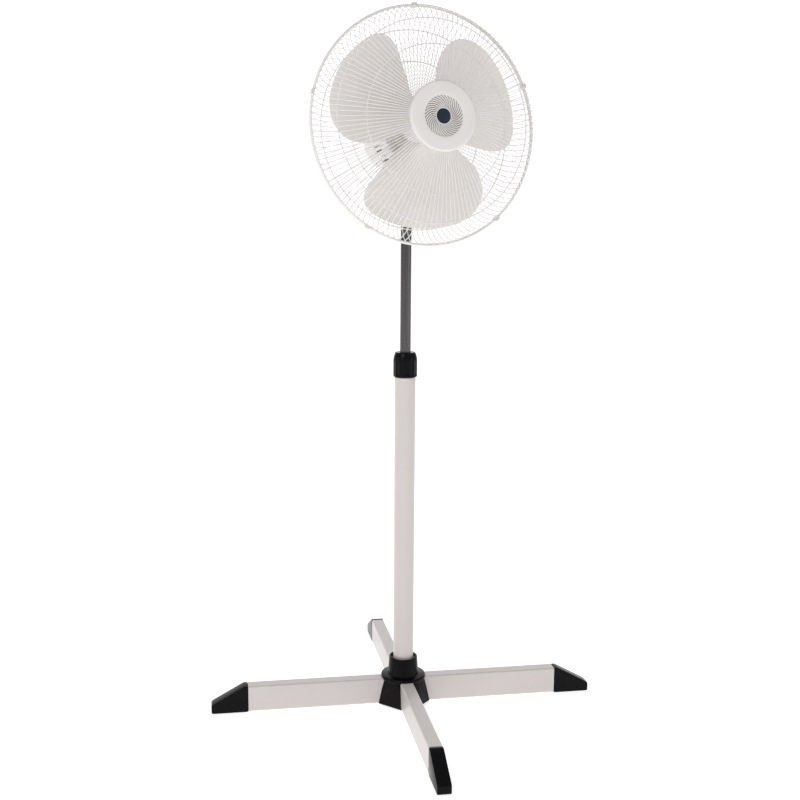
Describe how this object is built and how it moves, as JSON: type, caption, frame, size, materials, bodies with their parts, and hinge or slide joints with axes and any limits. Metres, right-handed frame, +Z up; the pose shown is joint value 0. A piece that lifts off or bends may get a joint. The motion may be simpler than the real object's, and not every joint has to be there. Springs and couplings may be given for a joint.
{
  "type": "pedestal fan",
  "caption": "Pedestal fan with a crossed-tube base, a sliding mast, push buttons, and a tilting and swinging head behind a wire guard.",
  "frame": {"origin": "centre of the crossed base, on the floor", "axes": "+Z up; the two leg tubes lie along X and Y; the fan faces -Y when its head is neither swung nor tilted"},
  "size_m": [0.7402, 0.7402, 1.2918],
  "materials": {
    "white_paint": "smooth satin paint",
    "gloss_black": "glossy moulded plastic",
    "black_plastic": "moulded plastic",
    "gun_metal": "dark satin coating",
    "white_plastic": "semi-gloss moulded plastic",
    "shade_plastic": "moulded plastic",
    "blade_plastic": "smooth moulded plastic",
    "badge_navy": "glossy plastic",
    "wire_white": "powder-coated wire",
    "zinc_steel": "zinc plated",
    "cast_alloy": "as cast",
    "lamination": "varnished laminations",
    "winding": "lacquered winding",
    "bush_bronze": "sintered bronze",
    "gear_plastic": "natural plastic"
  },
  "bodies": {
    "stand": {"leg_tube_side": "white_paint", "leg_tube_front": "white_paint", "foot_cap_left": "gloss_black", "foot_cap_right": "gloss_black", "foot_cap_front": "gloss_black", "foot_cap_back": "gloss_black", "base_cover": "gloss_black", "pole_socket": "zinc_steel", "base_bolt": "zinc_steel", "base_nut": "zinc_steel", "lower_pole": "white_paint", "pole_collet": "shade_plastic"},
    "collar": {"collar_nut": "gloss_black"},
    "mast": {"upper_pole": "gun_metal", "pole_guide": "shade_plastic", "control_housing": "white_plastic", "control_back": "white_plastic", "housing_screws": "zinc_steel", "switch_block": "black_plastic", "cord_gland": "black_plastic", "tilt_bolt": "zinc_steel", "tilt_nut": "zinc_steel"},
    "off_button": {"button_off": "badge_navy"},
    "low_button": {"button_low": "shade_plastic"},
    "medium_button": {"button_medium": "shade_plastic"},
    "high_button": {"button_high": "shade_plastic"},
    "tilt": {"tilt_bracket": "gun_metal", "swivel_clip": "zinc_steel"},
    "link": {"crank_link": "zinc_steel"},
    "head": {"front_cover": "white_plastic", "rear_cover": "white_plastic", "cover_screws": "zinc_steel", "front_end_shield": "cast_alloy", "gear_case": "cast_alloy", "stator_core": "lamination", "stator_windings": "winding", "front_bearing": "bush_bronze", "rear_bearing": "bush_bronze", "motor_bolts": "zinc_steel", "rear_guard_wires": "wire_white", "rear_guard_rings": "wire_white", "guard_nut": "shade_plastic", "front_guard_wires": "wire_white", "front_guard_rings": "wire_white", "front_disc": "white_plastic", "badge": "badge_navy"},
    "knob": {"swing_knob": "black_plastic"},
    "rotor": {"rotor_core": "lamination", "rotor_shaft": "zinc_steel", "shaft_pin": "zinc_steel", "worm": "zinc_steel", "fan_blade": "blade_plastic", "blade_nut": "shade_plastic"},
    "wheel": {"worm_wheel": "gear_plastic"},
    "crank": {"crank_gear": "gear_plastic"},
    "clip_a": {"rim_clip_a": "shade_plastic"},
    "clip_b": {"rim_clip_b": "shade_plastic"},
    "clip_c": {"rim_clip_c": "shade_plastic"},
    "clip_d": {"rim_clip_d": "shade_plastic"},
    "clip_e": {"rim_clip_e": "shade_plastic"}
  },
  "joints": [
    {"name": "collar_turn", "type": "hinge", "parent": "stand", "child": "collar", "pos_m": [0, 0, 0.636], "axis": [0, 0, 1], "range_deg": [-90, 90]},
    {"name": "mast_slide", "type": "slide", "parent": "stand", "child": "mast", "axis": [0, 0, 1], "range_m": [-0.245, 0.07]},
    {"name": "off_press", "type": "slide", "parent": "mast", "child": "off_button", "axis": [0, 1, 0], "range_m": [0, 0.002], "stiffness_N_per_m": 300, "springref_m": -0.002},
    {"name": "low_press", "type": "slide", "parent": "mast", "child": "low_button", "axis": [0, 1, 0], "range_m": [0, 0.002], "stiffness_N_per_m": 300, "springref_m": -0.002},
    {"name": "medium_press", "type": "slide", "parent": "mast", "child": "medium_button", "axis": [0, 1, 0], "range_m": [0, 0.002], "stiffness_N_per_m": 300, "springref_m": -0.002},
    {"name": "high_press", "type": "slide", "parent": "mast", "child": "high_button", "axis": [0, 1, 0], "range_m": [0, 0.002], "stiffness_N_per_m": 300, "springref_m": -0.002},
    {"name": "head_tilt", "type": "hinge", "parent": "mast", "child": "tilt", "pos_m": [0, 0, 0.992], "axis": [-1, 0, 0], "range_deg": [-7.8, 20.2]},
    {"name": "head_swing", "type": "hinge", "parent": "tilt", "child": "head", "pos_m": [0, 0, 0.992], "axis": [0, 0.1357, 0.9907], "range_deg": [-46.6, 25.4]},
    {"name": "link_swing", "type": "hinge", "parent": "tilt", "child": "link", "pos_m": [0.01732, 0.01276, 1.01145], "axis": [0, 0.1357, 0.9907], "range_deg": [-60, 60]},
    {"name": "rotor_spin", "type": "hinge", "parent": "head", "child": "rotor", "pos_m": [0.01637, -0.07568, 1.08412], "axis": [0.184, -0.9738, 0.1334], "continuous": true},
    {"name": "worm_wheel_spin", "type": "hinge", "parent": "head", "child": "wheel", "pos_m": [0.00497, 0.06332, 1.06508], "axis": [0, 0.1357, 0.9907], "continuous": true},
    {"name": "crank_spin", "type": "hinge", "parent": "head", "child": "crank", "pos_m": [-0.01001, 0.06401, 1.06499], "axis": [0, 0.1357, 0.9907], "continuous": true},
    {"name": "knob_pull", "type": "slide", "parent": "head", "child": "knob", "axis": [0, 0.1357, 0.9907], "range_m": [-0.002, 0.008]},
    {"name": "clip_a_flip", "type": "hinge", "parent": "head", "child": "clip_a", "pos_m": [0.20211, -0.02828, 1.15681], "axis": [-0.3762, 0.0556, 0.9249], "range_deg": [0, 60]},
    {"name": "clip_b_flip", "type": "hinge", "parent": "head", "child": "clip_b", "pos_m": [0.00014, -0.04863, 1.28669], "axis": [-0.9799, -0.1923, -0.0528], "range_deg": [0, 60]},
    {"name": "clip_c_flip", "type": "hinge", "parent": "head", "child": "clip_c", "pos_m": [-0.17999, -0.10327, 1.13621], "axis": [-0.2295, -0.1745, -0.9575], "range_deg": [0, 60]},
    {"name": "clip_d_flip", "type": "hinge", "parent": "head", "child": "clip_d", "pos_m": [-0.08934, -0.11668, 0.91332], "axis": [0.8381, 0.0845, -0.539], "range_deg": [0, 60]},
    {"name": "clip_e_flip", "type": "hinge", "parent": "head", "child": "clip_e", "pos_m": [0.14681, -0.07033, 0.92605], "axis": [0.7474, 0.2267, 0.6245], "range_deg": [0, 60]}
  ],
  "couplings": [
    {"joint": "worm_wheel_spin", "follows": "rotor_spin", "ratio": -0.029412},
    {"joint": "crank_spin", "follows": "rotor_spin", "ratio": 0.0073529},
    {"joint": "link_swing", "follows": "head_swing", "ratio": 1.09}
  ]
}
